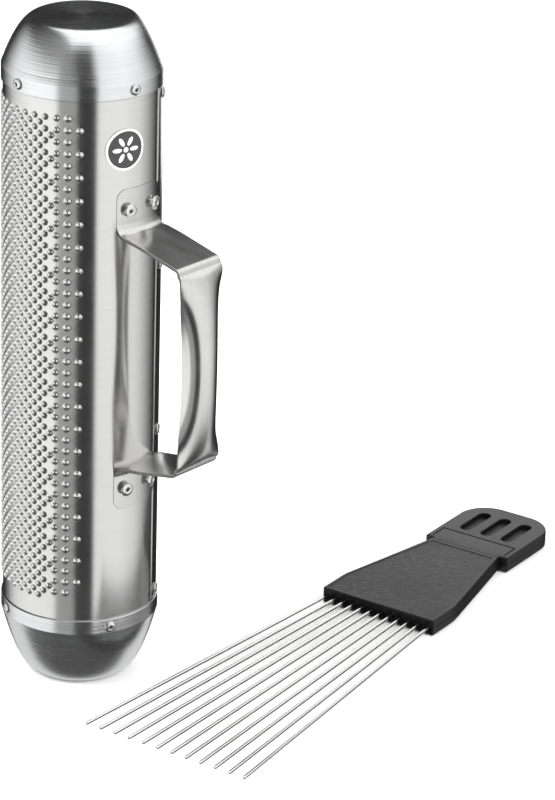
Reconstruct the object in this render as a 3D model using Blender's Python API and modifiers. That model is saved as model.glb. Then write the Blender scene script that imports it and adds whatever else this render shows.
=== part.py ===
"""Metal guiro (guira) with its scraper.

A rolled steel shell is closed by two spun end caps, and carries a bent strap handle and a badge, all
held by blind rivets. The scraper is a fan of twelve steel tines clamped in a two-part plastic handle.
Lengths are in metres. The origin is the centre of the base, +Z is up and the handle stands out at +X.
"""

import math

import bmesh
import bpy

MM = 0.001
GAP = 0.3 * MM  # clearance between pieces that touch

# Body
BODY_RADIUS = 45 * MM
SHEET = 0.8 * MM
RIM_TO_RIM = 315 * MM
SHELL_TUCK = 7.5 * MM  # how far the shell goes into each cap
SEAM_EDGE = 23  # degrees, the outer sheet's free edge
SEAM_OVERLAP = 16  # degrees
JOGGLE = 4  # degrees over which the inner layer steps in

# End caps
TOP_CAP_HEIGHT = 36 * MM
BOTTOM_CAP_HEIGHT = 47 * MM
CAP_RADIUS = 46 * MM
CAP_SHEET = 0.7 * MM
CAP_FLAT_RADIUS = 27 * MM
CAP_LIP = 8.5 * MM
CAP_FULLNESS = 0.52  # below 1, the taper bulges outwards
CAP_STEPS = 7
CAP_SPREAD = 1.6  # above 1, the taper's points gather near the flat end
CAP_SEGMENTS = 40
LOW_RIM = BOTTOM_CAP_HEIGHT
HIGH_RIM = LOW_RIM + RIM_TO_RIM
MIDDLE = (LOW_RIM + HIGH_RIM) / 2

# Handle strap, as its body-side face
STRAP_THICKNESS = 1.8 * MM
STRAP_HALF_WIDTH = 17 * MM
HANDLE_MIDDLE = MIDDLE + 8 * MM
FOOT_END = 97 * MM  # heights are from the handle's middle
FOOT_BEND = 72 * MM
GRIP_CORNER = 62 * MM
GRIP_STANDOFF = 45.2 * MM  # from the body to the grip's body-side face
FOOT_BEND_RADIUS = 5.5 * MM
GRIP_BEND_RADIUS = 4 * MM
FOOT_CORNER = 6 * MM
GRIP_HALF_WIDTH = 19 * MM  # at the grip's middle, measured round the half-tube
GRIP_TUBE_RADIUS = 11.5 * MM  # of the half-tube at the grip's middle
GRIP_BULGE = 10.3 * MM
GRIP_FLAT = 58 * MM  # from the grip's middle to where its half-tube begins
GRIP_ONSET = 0.45  # below 1, the half-tube deepens quickly from its ends
GRIP_ROWS = 9
STRAP_COLUMNS = 10

# Badge
BADGE_RADIUS = 12 * MM
BADGE_THICKNESS = 1 * MM
BADGE_ANGLE = -15.5
BADGE_DROP = 29 * MM  # its centre, below the top rim

# Blind rivets: (shank, head, head height) radii and height
SMALL_RIVET = (1.6 * MM, 3.25 * MM, 1.1 * MM)
LARGE_RIVET = (2.0 * MM, 4.0 * MM, 1.3 * MM)
RIVET_TAIL = 3.0 * MM
MANDREL_RADIUS = 0.7 * MM
MANDREL_HEAD = 1.2 * MM
DRILL_PLAY = 0.4 * MM  # between a shank and the hole round it
DRILL_DEPTH = 14 * MM
TOP_RIVET_ANGLES = [-98 + 90 * i for i in range(4)]
BOTTOM_RIVET_ANGLES = [-113.6 + 90 * i for i in range(4)]
TOP_RIVET_INSET = 4.5 * MM  # from the rim's edge
BOTTOM_RIVET_INSET = 4.8 * MM
SEAM_RIVET_HEIGHTS = [-152.5 * MM, -51 * MM, 51 * MM, 152.5 * MM]
FOOT_RIVET_ANGLE = 12.3
FOOT_RIVET_HEIGHT = 84.5 * MM

# Scraper, in its own axes: +Y towards the far end, the front edge at Y = 0, lying on Z = 0
SCRAPER_PLACE = (92.5 * MM, 166 * MM, 0)
SCRAPER_TURN = 7.2  # degrees
SCRAPER_THICKNESS = 10 * MM
FRONT_HALF_WIDTH = 40 * MM
FRONT_LENGTH = 26 * MM
NECK_HALF_WIDTH = 24.5 * MM
NECK_AT = 101.5 * MM
END_HALF_WIDTH = 30 * MM
END_FROM = 104 * MM
SCRAPER_LENGTH = 167 * MM
END_CORNER = 20 * MM
TINE_COUNT = 12
TINE_RADIUS = 1 * MM
TINE_REACH = 224 * MM
TINE_BURIED = 45 * MM
ROOT_HALF_SPREAD = 36.5 * MM
TIP_HALF_SPREAD = 54.5 * MM
CHANNEL_PLAY = 0.4 * MM  # between a tine and its channel's wall
OUTER_ROUNDING = 0.9 * MM
JOINT_ROUNDING = 0.25 * MM
GRIP_SLOTS = 3
SLOT_DEPTH = 3 * MM
SLOT_HALF_WIDTH = 4 * MM
SLOT_HALF_LENGTH = 11 * MM  # between the centres of its round ends
SLOT_PITCH = 15 * MM
SLOT_MIDDLE = 140.5 * MM

STEEL = ((0.60, 0.60, 0.59), 0.30, 1.0)
ALUMINIUM = ((0.72, 0.72, 0.71), 0.28, 1.0)
BRIGHT_STEEL = ((0.75, 0.75, 0.74), 0.15, 1.0)
DARK_STEEL = ((0.20, 0.20, 0.20), 0.45, 1.0)
BADGE_GREY = ((0.09, 0.09, 0.09), 0.35, 0.0)
BLACK_PLASTIC = ((0.035, 0.035, 0.037), 0.5, 0.0)


def clear_scene():
    for obj in list(bpy.data.objects):
        bpy.data.objects.remove(obj)


def new_collection(name):
    collection = bpy.data.collections.new(name)
    bpy.context.scene.collection.children.link(collection)
    return collection


def finish(obj, look):
    """Gives the object its own material and puts it with the parts."""
    colour, roughness, metallic = look
    material = bpy.data.materials.new(obj.name + "_finish")
    material.use_nodes = True
    shader = material.node_tree.nodes["Principled BSDF"]
    shader.inputs["Base Color"].default_value = (*colour, 1)
    shader.inputs["Roughness"].default_value = roughness
    shader.inputs["Metallic"].default_value = metallic
    material.diffuse_color = (*colour, 1)
    obj.data.materials.append(material)
    PARTS.objects.link(obj)
    obj.data.shade_smooth()
    return obj


def object_of(bm, name):
    mesh = bpy.data.meshes.new(name)
    bm.to_mesh(mesh)
    bm.free()
    return bpy.data.objects.new(name, mesh)


def ramp(x):
    """0 below 0, 1 above 1, and a smooth S between."""
    x = min(max(x, 0), 1)
    return x * x * (3 - 2 * x)


def polar(radius, degrees, height):
    angle = math.radians(degrees)
    return (radius * math.cos(angle), radius * math.sin(angle), height)


def solidify(obj, thickness, offset):
    wall = obj.modifiers.new("wall", "SOLIDIFY")
    wall.thickness = thickness
    wall.offset = offset
    wall.use_even_offset = True


def turned(name, profile, segments):
    """A profile of (radius, height) points, top to bottom down its outer side, turned about Z."""
    bm = bmesh.new()
    corners = [bm.verts.new((radius, 0, height)) for radius, height in profile]
    for start, end in zip(corners, corners[1:]):
        bm.edges.new((start, end))
    bmesh.ops.remove_doubles(bm, verts=bm.verts[:], dist=0.00001)
    obj = object_of(bm, name)
    screw = obj.modifiers.new("turn", "SCREW")
    screw.steps = screw.render_steps = segments
    screw.use_merge_vertices = True
    screw.merge_threshold = 0.00001
    screw.use_smooth_shade = True
    return obj


def point_outwards(obj, radius, degrees, height):
    """Places an object on the body with its own +Z pointing straight out."""
    obj.location = polar(radius, degrees, height)
    obj.rotation_euler = (0, math.pi / 2, math.radians(degrees))


def drill(obj, drills):
    for index, tool in enumerate(drills):
        hole = obj.modifiers.new(f"hole_{index}", "BOOLEAN")
        hole.operation = "DIFFERENCE"
        hole.object = tool


def hide_cutter(obj):
    CUTTERS.objects.link(obj)
    obj.hide_render = True
    obj.display_type = "WIRE"
    return obj


def drill_through(name, hole_radius, degrees, height):
    """A drill that passes every layer of the wall at one rivet."""
    bm = bmesh.new()
    bmesh.ops.create_cone(
        bm, cap_ends=True, segments=10, radius1=hole_radius, radius2=hole_radius, depth=DRILL_DEPTH
    )
    drill_tool = hide_cutter(object_of(bm, name + "_drill"))
    point_outwards(drill_tool, BODY_RADIUS, degrees, height)
    return drill_tool


# --- body ---


def body_shell():
    """The sheet's outer face, from the seam's free edge round to the tucked-in edge, then its wall."""
    overlap = [SEAM_EDGE + SEAM_OVERLAP * i / 4 for i in range(5)]
    around = 60
    rest = 360 - SEAM_OVERLAP - JOGGLE
    free = [overlap[-1] + rest * i / around for i in range(1, around + 1)]
    joggle = [free[-1] + JOGGLE * i / 4 for i in range(1, 5)]
    tucked = [360 + angle for angle in overlap[1:]]
    step_in = SHEET + GAP
    bm = bmesh.new()
    low, high = LOW_RIM - SHELL_TUCK, HIGH_RIM + SHELL_TUCK
    columns = []
    for angle in overlap + free + joggle + tucked:
        radius = BODY_RADIUS - step_in * ramp((angle - free[-1]) / JOGGLE)
        columns.append([bm.verts.new(polar(radius, angle, height)) for height in (low, high)])
    for left, right in zip(columns, columns[1:]):
        bm.faces.new((left[0], right[0], right[1], left[1]))
    shell = object_of(bm, "body_shell")
    solidify(shell, SHEET, -1)
    return finish(shell, STEEL)


def cap_profile(cap_height):
    """From the middle of the flat end, out over the shoulder and down to the lip's edge at height 0."""
    taper = cap_height - CAP_LIP
    points = [(0, cap_height)]
    for i in range(CAP_STEPS + 1):
        run = 1 - (i / CAP_STEPS) ** CAP_SPREAD
        radius = CAP_FLAT_RADIUS + (CAP_RADIUS - CAP_FLAT_RADIUS) * (1 - run) ** CAP_FULLNESS
        points.append((radius, CAP_LIP + taper * run))
    return points + [(CAP_RADIUS, 0)]


def end_cap(name, rim, cap_height, upside_down):
    cap = turned(name, cap_profile(cap_height), CAP_SEGMENTS)
    solidify(cap, CAP_SHEET, -1)
    cap.location = (0, 0, rim)
    cap.rotation_euler = (math.pi if upside_down else 0, 0, 0)
    return finish(cap, ALUMINIUM)


# --- handle ---


def rounded_corner(before, corner, after, radius, steps):
    """Points and headings along the arc that rounds a corner of a path in the (out, up) plane."""
    heading_in = math.atan2(corner[1] - before[1], corner[0] - before[0])
    heading_out = math.atan2(after[1] - corner[1], after[0] - corner[0])
    turn = heading_out - heading_in
    side = math.copysign(1, turn)
    trim = radius * math.tan(abs(turn) / 2)
    start = (corner[0] - trim * math.cos(heading_in), corner[1] - trim * math.sin(heading_in))
    centre = (
        start[0] - side * radius * math.sin(heading_in),
        start[1] + side * radius * math.cos(heading_in),
    )
    arc = []
    for i in range(steps + 1):
        heading = heading_in + turn * i / steps
        out = centre[0] + side * radius * math.sin(heading)
        up = centre[1] - side * radius * math.cos(heading)
        arc.append((out, up, heading))
    return arc


def strap_rows():
    """Rows (out, up, heading, half width, curvature, bulge) from the upper foot's end to the middle."""
    inner = BODY_RADIUS + GAP
    foot_end, foot_bend = (inner, FOOT_END), (inner, FOOT_BEND)
    corner, middle = (BODY_RADIUS + GRIP_STANDOFF, GRIP_CORNER), (BODY_RADIUS + GRIP_STANDOFF, 0)
    rows = []
    for share in (0, 0.1, 0.3, 0.6, 1):
        cut_back = FOOT_CORNER - math.sqrt(FOOT_CORNER**2 - (FOOT_CORNER * (1 - share)) ** 2)
        up = FOOT_END - FOOT_CORNER * share
        rows.append((inner, up, -math.pi / 2, STRAP_HALF_WIDTH - cut_back, 1 / inner, 0))
    foot_arc = rounded_corner(foot_end, foot_bend, corner, FOOT_BEND_RADIUS, 6)
    for i, (out, up, heading) in enumerate(foot_arc):
        rows.append((out, up, heading, STRAP_HALF_WIDTH, ramp(1 - i / 8) / inner, 0))
    grip_arc = rounded_corner(foot_bend, corner, middle, GRIP_BEND_RADIUS, 5)
    out = (foot_arc[-1][0] + grip_arc[0][0]) / 2
    up = (foot_arc[-1][1] + grip_arc[0][1]) / 2
    rows.append((out, up, grip_arc[0][2], STRAP_HALF_WIDTH, 0, 0))
    rows += [(out, up, heading, STRAP_HALF_WIDTH, 0, 0) for out, up, heading in grip_arc]
    for i in range(1, GRIP_ROWS + 1):
        up = grip_arc[-1][1] * (1 - i / GRIP_ROWS)
        full = max(0, 1 - (up / GRIP_FLAT) ** 2) ** GRIP_ONSET
        half_width = STRAP_HALF_WIDTH + (GRIP_HALF_WIDTH - STRAP_HALF_WIDTH) * full
        curvature, bulge = full / GRIP_TUBE_RADIUS, full * GRIP_BULGE
        rows.append((corner[0], up, -math.pi / 2, half_width, curvature, bulge))
    return rows


def strap_point(row, share, side):
    """A point of the body-side face. Share runs from -1 to 1 across the strap."""
    out, up, heading, half_width, curvature, bulge = row
    across = half_width * share
    rise = bulge
    if curvature > 1e-6:
        rise -= (1 - math.cos(curvature * across)) / curvature
        across = math.sin(curvature * across) / curvature
    out -= rise * math.sin(heading)
    up += rise * math.cos(heading)
    return (out, across, HANDLE_MIDDLE + side * up)


def handle_strap():
    upper = [(row, 1) for row in strap_rows()]
    lower = [(row, -1) for row in reversed(strap_rows()[:-1])]
    shares = [2 * i / STRAP_COLUMNS - 1 for i in range(STRAP_COLUMNS + 1)]
    bm = bmesh.new()
    grid = []
    for row, side in upper + lower:
        grid.append([bm.verts.new(strap_point(row, share, side)) for share in shares])
    for above, below in zip(grid, grid[1:]):
        for i in range(STRAP_COLUMNS):
            bm.faces.new((above[i], below[i], below[i + 1], above[i + 1]))
    strap = object_of(bm, "handle_strap")
    solidify(strap, STRAP_THICKNESS, 1)
    return finish(strap, STEEL)


def badge():
    """A disc spun up in the (around, up) plane, then laid on the body's curve and thickened."""
    bm = bmesh.new()
    rings = [bm.verts.new((BADGE_RADIUS * i / 3, 0, 0)) for i in range(4)]
    spokes = [bm.edges.new(pair) for pair in zip(rings, rings[1:])]
    bmesh.ops.spin(bm, geom=rings + spokes, axis=(0, 0, 1), cent=(0, 0, 0), steps=28, angle=2 * math.pi)
    bmesh.ops.remove_doubles(bm, verts=bm.verts[:], dist=0.00001)
    radius = BODY_RADIUS + GAP
    centre = HIGH_RIM - BADGE_DROP
    for vert in bm.verts:
        around = BADGE_ANGLE + math.degrees(vert.co.x / radius)
        vert.co = polar(radius, around, centre + vert.co.y)
    bmesh.ops.recalc_face_normals(bm, faces=bm.faces[:])
    bm.faces.ensure_lookup_table()
    face = bm.faces[0]
    if face.normal.dot(face.calc_center_median()) < 0:
        bmesh.ops.reverse_faces(bm, faces=bm.faces[:])
    disc = object_of(bm, "badge")
    solidify(disc, BADGE_THICKNESS, 1)
    return finish(disc, BADGE_GREY)


# --- rivets ---


def rivet_profile(kind, grip):
    """Round the section from the bore's top, over the head, down the shank and tail, and up the bore."""
    shank, head, height = kind
    bore = MANDREL_RADIUS + GAP
    tail_top = -grip - GAP
    return [
        (bore, 0.9 * height),
        (0.55 * head, height),
        (head, 0.3 * height),
        (head, 0),
        (shank, 0),
        (shank, tail_top),
        (1.35 * shank, tail_top - 0.3 * RIVET_TAIL),
        (1.2 * shank, tail_top - RIVET_TAIL),
        (bore, tail_top - RIVET_TAIL),
        (bore, 0.9 * height),
    ]


def mandrel_profile(kind, grip):
    """What stays of the mandrel: a stem broken off inside the head, and its own head past the tail."""
    shank, _, height = kind
    tail = -grip - 2 * GAP - RIVET_TAIL
    return [
        (0, 0.3 * height),
        (MANDREL_RADIUS, 0.2 * height),
        (MANDREL_RADIUS, tail),
        (0.95 * shank, tail),
        (0.7 * shank, tail - MANDREL_HEAD),
        (0, tail - MANDREL_HEAD),
    ]


def rivet(name, kind, seat, grip, degrees, height):
    """One blind rivet with its head on the seat radius, clamping a grip of sheets. Returns its drill."""
    body = finish(turned(name, rivet_profile(kind, grip), 10), ALUMINIUM)
    mandrel = finish(turned(name + "_mandrel", mandrel_profile(kind, grip), 8), DARK_STEEL)
    for piece in (body, mandrel):
        point_outwards(piece, seat + GAP, degrees, height)
    return drill_through(name, kind[0] + DRILL_PLAY, degrees, height)


def rivets(shell, top_cap, bottom_cap, strap):
    """Every rivet, and the holes that it passes through."""
    wall = CAP_SHEET + SHEET + 2 * GAP
    lip = BODY_RADIUS + GAP + CAP_SHEET
    double = 2 * SHEET + 2 * GAP
    seam_angle = SEAM_EDGE + SEAM_OVERLAP / 2
    foot = BODY_RADIUS + GAP + STRAP_THICKNESS
    foot_grip = STRAP_THICKNESS + SHEET + 2 * GAP
    top_height = HIGH_RIM + TOP_RIVET_INSET
    bottom_height = LOW_RIM - BOTTOM_RIVET_INSET
    top, bottom, seam, feet = [], [], [], []
    for i, angle in enumerate(TOP_RIVET_ANGLES, 1):
        top.append(rivet(f"top_cap_rivet_{i}", SMALL_RIVET, lip, wall, angle, top_height))
    for i, angle in enumerate(BOTTOM_RIVET_ANGLES, 1):
        bottom.append(rivet(f"bottom_cap_rivet_{i}", SMALL_RIVET, lip, wall, angle, bottom_height))
    for i, offset in enumerate(SEAM_RIVET_HEIGHTS, 1):
        height = MIDDLE + offset
        seam.append(rivet(f"seam_rivet_{i}", SMALL_RIVET, BODY_RADIUS, double, seam_angle, height))
    for end, side in (("lower", -1), ("upper", 1)):
        for hand, angle in (("left", -FOOT_RIVET_ANGLE), ("right", FOOT_RIVET_ANGLE)):
            height = HANDLE_MIDDLE + side * FOOT_RIVET_HEIGHT
            feet.append(rivet(f"handle_rivet_{end}_{hand}", LARGE_RIVET, foot, foot_grip, angle, height))
    drill(shell, top + bottom + seam + feet)
    drill(top_cap, top)
    drill(bottom_cap, bottom)
    drill(strap, feet)


# --- scraper ---


def arc(centre, radius, first, last, steps):
    angles = [math.radians(first + (last - first) * i / steps) for i in range(steps + 1)]
    return [(centre[0] + radius * math.cos(a), centre[1] + radius * math.sin(a)) for a in angles]


def scraper_outline():
    """The plan of the scraper's handle, anticlockwise from the front left corner."""
    far = arc((END_HALF_WIDTH - END_CORNER, SCRAPER_LENGTH - END_CORNER), END_CORNER, 0, 90, 8)
    right = [
        (FRONT_HALF_WIDTH - 1.5 * MM, 0),
        (FRONT_HALF_WIDTH, 1.5 * MM),
        (FRONT_HALF_WIDTH, FRONT_LENGTH - 4 * MM),
        (FRONT_HALF_WIDTH - 0.5 * MM, FRONT_LENGTH + 2 * MM),
        (NECK_HALF_WIDTH, NECK_AT),
        (NECK_HALF_WIDTH, END_FROM),
        (END_HALF_WIDTH, END_FROM + 0.6 * MM),
    ]
    right += far
    return right + [(-across, along) for across, along in reversed(right)]


def plate(name, outline, low, high):
    """A flat outline extruded between two heights, as a welded mesh."""
    curve = bpy.data.curves.new(name, "CURVE")
    curve.dimensions = "2D"
    curve.fill_mode = "BOTH"
    curve.extrude = (high - low) / 2
    spline = curve.splines.new("POLY")
    spline.points.add(len(outline) - 1)
    for point, (across, along) in zip(spline.points, outline):
        point.co = (across, along, 0, 1)
    spline.use_cyclic_u = True
    drawn = bpy.data.objects.new(name + "_outline", curve)
    PARTS.objects.link(drawn)
    bpy.context.view_layer.update()
    evaluated = drawn.evaluated_get(bpy.context.evaluated_depsgraph_get())
    bm = bmesh.new()
    bm.from_mesh(evaluated.to_mesh())
    bpy.data.objects.remove(drawn)
    bmesh.ops.remove_doubles(bm, verts=bm.verts[:], dist=0.00001)
    bmesh.ops.dissolve_limit(bm, angle_limit=0.001, verts=bm.verts[:], edges=bm.edges[:])
    bmesh.ops.recalc_face_normals(bm, faces=bm.faces[:])
    bmesh.ops.translate(bm, verts=bm.verts[:], vec=(0, 0, (low + high) / 2))
    return bm


def round_outer_edge(bm, level, width):
    """Rounds the outline's edge at one height."""
    rim = [
        edge
        for edge in bm.edges
        if edge.calc_face_angle() > 1 and all(abs(vert.co.z - level) < 0.00001 for vert in edge.verts)
    ]
    bmesh.ops.bevel(bm, geom=rim, offset=width, segments=2, profile=0.5, affect="EDGES")


def tine_line(index):
    """Where a tine leaves the handle, and how far it leans per metre of length."""
    share = 2 * index / (TINE_COUNT - 1) - 1
    lean = share * (TIP_HALF_SPREAD - ROOT_HALF_SPREAD) / TINE_REACH
    return share * ROOT_HALF_SPREAD, lean


def along_tine(obj, index, start):
    """Lays an object's own +Z along a tine towards its tip, from a distance in front of the front edge."""
    root, lean = tine_line(index)
    obj.parent = SCRAPER
    obj.location = (root + lean * start, -start, SCRAPER_THICKNESS / 2)
    obj.rotation_euler = (math.pi / 2, 0, math.atan(lean))
    return obj


def tine(index):
    _, lean = tine_line(index)
    length = (TINE_REACH + TINE_BURIED) * math.hypot(1, lean)
    radius = TINE_RADIUS
    profile = [
        (0, length),
        (0.6 * radius, length - 0.12 * radius),
        (radius, length - 0.6 * radius),
        (radius, 0),
        (0, 0),
    ]
    rod = along_tine(turned(f"tine_{index + 1:02d}", profile, 10), index, -TINE_BURIED)
    return finish(rod, BRIGHT_STEEL)


def groove_cutter(index):
    """The channel that a tine lies in, half in each part of the handle."""
    depth = TINE_BURIED + 2 * MM
    bm = bmesh.new()
    radius = TINE_RADIUS + CHANNEL_PLAY
    bmesh.ops.create_cone(bm, cap_ends=True, segments=8, radius1=radius, radius2=radius, depth=2 * depth)
    bmesh.ops.translate(bm, verts=bm.verts[:], vec=(0, 0, depth))
    cutter = hide_cutter(object_of(bm, f"tine_{index + 1:02d}_groove"))
    return along_tine(cutter, index, -TINE_BURIED - GAP)


def slot_cutter(index):
    """One of the lengthwise finger slots in the end of the upper part."""
    name = f"finger_slot_{index + 1}"
    across = (index - (GRIP_SLOTS - 1) / 2) * SLOT_PITCH
    ends = arc((across, SLOT_MIDDLE + SLOT_HALF_LENGTH), SLOT_HALF_WIDTH, 0, 180, 6)
    ends += arc((across, SLOT_MIDDLE - SLOT_HALF_LENGTH), SLOT_HALF_WIDTH, 180, 360, 6)
    bm = plate(name, ends, SCRAPER_THICKNESS - SLOT_DEPTH, SCRAPER_THICKNESS + 2 * MM)
    cutter = hide_cutter(object_of(bm, name))
    cutter.parent = SCRAPER
    return cutter


def scraper_handle():
    """Two moulded parts that meet at mid-thickness, rounded outside and slightly eased at the joint."""
    under_joint, over_joint = SCRAPER_THICKNESS / 2 - GAP / 2, SCRAPER_THICKNESS / 2 + GAP / 2
    grooves = [groove_cutter(i) for i in range(TINE_COUNT)]
    slots = [slot_cutter(i) for i in range(GRIP_SLOTS)]
    for name, joint, face, cuts in (
        ("scraper_handle_upper", over_joint, SCRAPER_THICKNESS, slots),
        ("scraper_handle_lower", under_joint, 0, []),
    ):
        bm = plate(name, scraper_outline(), min(joint, face), max(joint, face))
        round_outer_edge(bm, face, OUTER_ROUNDING)
        round_outer_edge(bm, joint, JOINT_ROUNDING)
        half = object_of(bm, name)
        half.parent = SCRAPER
        drill(half, grooves + cuts)
        finish(half, BLACK_PLASTIC)


def main():
    shell = body_shell()
    top_cap = end_cap("top_cap", HIGH_RIM, TOP_CAP_HEIGHT, False)
    bottom_cap = end_cap("bottom_cap", LOW_RIM, BOTTOM_CAP_HEIGHT, True)
    strap = handle_strap()
    badge()
    rivets(shell, top_cap, bottom_cap, strap)
    scraper_handle()
    for i in range(TINE_COUNT):
        tine(i)


clear_scene()
PARTS = new_collection("guiro")
CUTTERS = new_collection("cutters")
SCRAPER = bpy.data.objects.new("scraper_frame", None)
SCRAPER.location = SCRAPER_PLACE
SCRAPER.rotation_euler = (0, 0, math.radians(SCRAPER_TURN))
PARTS.objects.link(SCRAPER)
main()
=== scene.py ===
import math

import bmesh
import bpy
from mathutils import Matrix, Vector


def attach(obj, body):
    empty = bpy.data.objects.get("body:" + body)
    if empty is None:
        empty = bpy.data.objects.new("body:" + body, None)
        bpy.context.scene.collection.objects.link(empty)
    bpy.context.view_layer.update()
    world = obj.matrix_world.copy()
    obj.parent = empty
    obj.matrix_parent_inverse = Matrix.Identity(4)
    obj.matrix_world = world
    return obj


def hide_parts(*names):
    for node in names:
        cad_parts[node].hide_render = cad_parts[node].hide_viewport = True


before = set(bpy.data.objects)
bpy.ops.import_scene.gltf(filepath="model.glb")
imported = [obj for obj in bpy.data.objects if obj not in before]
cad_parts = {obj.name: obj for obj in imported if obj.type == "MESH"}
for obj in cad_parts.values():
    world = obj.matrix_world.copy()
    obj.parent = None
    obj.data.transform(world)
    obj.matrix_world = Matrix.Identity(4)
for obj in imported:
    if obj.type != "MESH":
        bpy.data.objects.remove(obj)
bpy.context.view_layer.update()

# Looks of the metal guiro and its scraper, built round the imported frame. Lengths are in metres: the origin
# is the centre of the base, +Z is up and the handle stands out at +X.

MM = 0.001
GAP = 0.3 * MM
PLAY = 0.4 * MM  # how far a drill clears what goes through it

# Body
BODY_RADIUS = 45 * MM
SHEET = 0.8 * MM
SEAM_EDGE = 23
SEAM_OVERLAP = 16
JOGGLE_FROM, JOGGLE = 379, 4

# Bump field
COLUMNS = 59
COLUMN_PITCH = 4.24  # degrees
FIELD_FROM = 315.68 - (COLUMNS + 1) * COLUMN_PITCH
ROWS = 43
HALF_PITCH = 3.42 * MM
BUMP_RADIUS = 2.2 * MM
BUMP_HEIGHT = 1.1 * MM
BUMP_SIDES = 16
BUMP_RINGS = (1, 0.9, 0.77, 0.62, 0.45, 0.25)  # shares of the radius
BUMP_SHOULDER = 1.8

# End caps
TOP_CAP_HEIGHT = 36 * MM
BOTTOM_CAP_HEIGHT = 47 * MM
CAP_RADIUS = 46 * MM
CAP_SHEET = 0.7 * MM
CAP_FLAT_RADIUS = 27 * MM
CAP_LIP = 8.5 * MM
CAP_FULLNESS = 0.52
CAP_SPREAD = 1.6
CAP_SEGMENTS = 160
LOW_RIM = BOTTOM_CAP_HEIGHT
HIGH_RIM = LOW_RIM + 315 * MM
MIDDLE = (LOW_RIM + HIGH_RIM) / 2
SHELL_TUCK = 7.5 * MM
SHELL_LOW, SHELL_HIGH = LOW_RIM - SHELL_TUCK, HIGH_RIM + SHELL_TUCK
FIELD_TOP = HIGH_RIM - 10 * MM

# Marks left by spinning the caps: a groove round the shoulder, ridges all over, given as (pitch in mm, phase,
# height in micrometres), and even ones on the lip
GROOVE_HEIGHT = 12.2 * MM
GROOVE_WIDTH = 0.42 * MM
GROOVE_DEPTH = 0.07 * MM
RIDGES = ((2.4, 0.9, 6.0), (0.9, 1.9, 4.5), (1.53, 0.4, 5.5), (4.3, 2.6, 4.0))
LIP_RIDGE_PITCH = 0.9 * MM
TOP_LIP_RIDGES = 0.003 * MM
BOTTOM_LIP_RIDGES = 0.014 * MM

# Handle
STRAP_THICKNESS = 1.8 * MM
STRAP_HALF_WIDTH = 17 * MM
HANDLE_MIDDLE = MIDDLE + 8 * MM
FOOT_END = 97 * MM
FOOT_BEND = 72 * MM
GRIP_CORNER = 62 * MM
GRIP_STANDOFF = 45.2 * MM
FOOT_BEND_RADIUS = 5.5 * MM
GRIP_BEND_RADIUS = 4 * MM
FOOT_CORNER = 6 * MM
GRIP_HALF_WIDTH = 19 * MM
GRIP_TUBE_RADIUS = 11.5 * MM
GRIP_BULGE = 10.3 * MM
GRIP_FLAT = 58 * MM
GRIP_ONSET = 0.45
GRIP_CURL = 0.75
STRAP_COLUMNS = 40
STRAP_EDGE = 0.45 * MM
BEND_STEPS = 14

# Badge
BADGE_RADIUS = 12 * MM
BADGE_RIM = 1.3 * MM
BADGE_ANGLE = -15.5
BADGE_HEIGHT = HIGH_RIM - 29 * MM
PETALS = 6
PETAL_FROM_MIDDLE = 5.3
PETAL_LENGTH, PETAL_WIDTH = 2.75, 1.25  # half of each, in mm

# Rivets: radii of shank and head, and height of head
SMALL_RIVET = (1.6 * MM, 3.25 * MM, 1.1 * MM)
LARGE_RIVET = (2.0 * MM, 4.0 * MM, 1.3 * MM)
RIVET_TAIL = 3 * MM
MANDREL_RADIUS = 0.7 * MM
DRILL_DEPTH = 14 * MM
CAP_RIVETS = (("top", -98, HIGH_RIM + 4.5 * MM), ("bottom", -113.6, LOW_RIM - 4.8 * MM))
SEAM_RIVET_HEIGHTS = (-152.5, -51, 51, 152.5)  # mm from the middle
HANDLE_RIVET_ANGLE = 12.3
HANDLE_RIVET_RISE = 84.5 * MM

# Scraper
SCRAPER_PLACE = (92.5 * MM, 166 * MM, 0)
SCRAPER_TURN = 7.2
SCRAPER_THICKNESS = 10 * MM
FRONT_HALF_WIDTH = 40 * MM
FRONT_LENGTH = 26 * MM
NECK_HALF_WIDTH = 24.5 * MM
NECK_AT = 101.5 * MM
END_HALF_WIDTH = 30 * MM
END_FROM = 104 * MM
SCRAPER_LENGTH = 167 * MM
END_CORNER = 20 * MM
TINE_COUNT = 12
TINE_RADIUS = 1 * MM
TINE_REACH = 224 * MM
TINE_BURIED = 45 * MM
ROOT_HALF_SPREAD = 36.5 * MM
TIP_HALF_SPREAD = 54.5 * MM
OUTER_ROUNDING = 0.9 * MM
JOINT_ROUNDING = 0.25 * MM
SLOT_DEPTH = 3 * MM
SLOT_PITCH = 15 * MM
SLOT_HALF_WIDTH = 4 * MM
SLOT_HALF_LENGTH = 11 * MM
SLOT_MIDDLE = 140.5 * MM
PANEL_BORDER = 2.2 * MM
BAR_LENGTH = 15.4 * MM

# Camera
CAMERA_PLACE = (1.39568, -1.46697, 1.01475)
CAMERA_AZIMUTH = 40.364
CAMERA_PITCH = 22.668
CAMERA_ROLL = 1.68
CAMERA_LENS = 171

# Lamps: name, place, aim, size, power, whether reflections show it
LAMPS = (
    ("key", (-0.9, -1.6, 2.2), (0, 0, 0.1), 1.6, 60, False),
    ("fill", (2.2, 0.4, 1.8), (0, 0, 0.1), 1.6, 50, False),
    ("low_card", (-0.25, 0.72, 0.24), (0.09, 0.2, 0), 0.5, 0.85, True),
)

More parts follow.
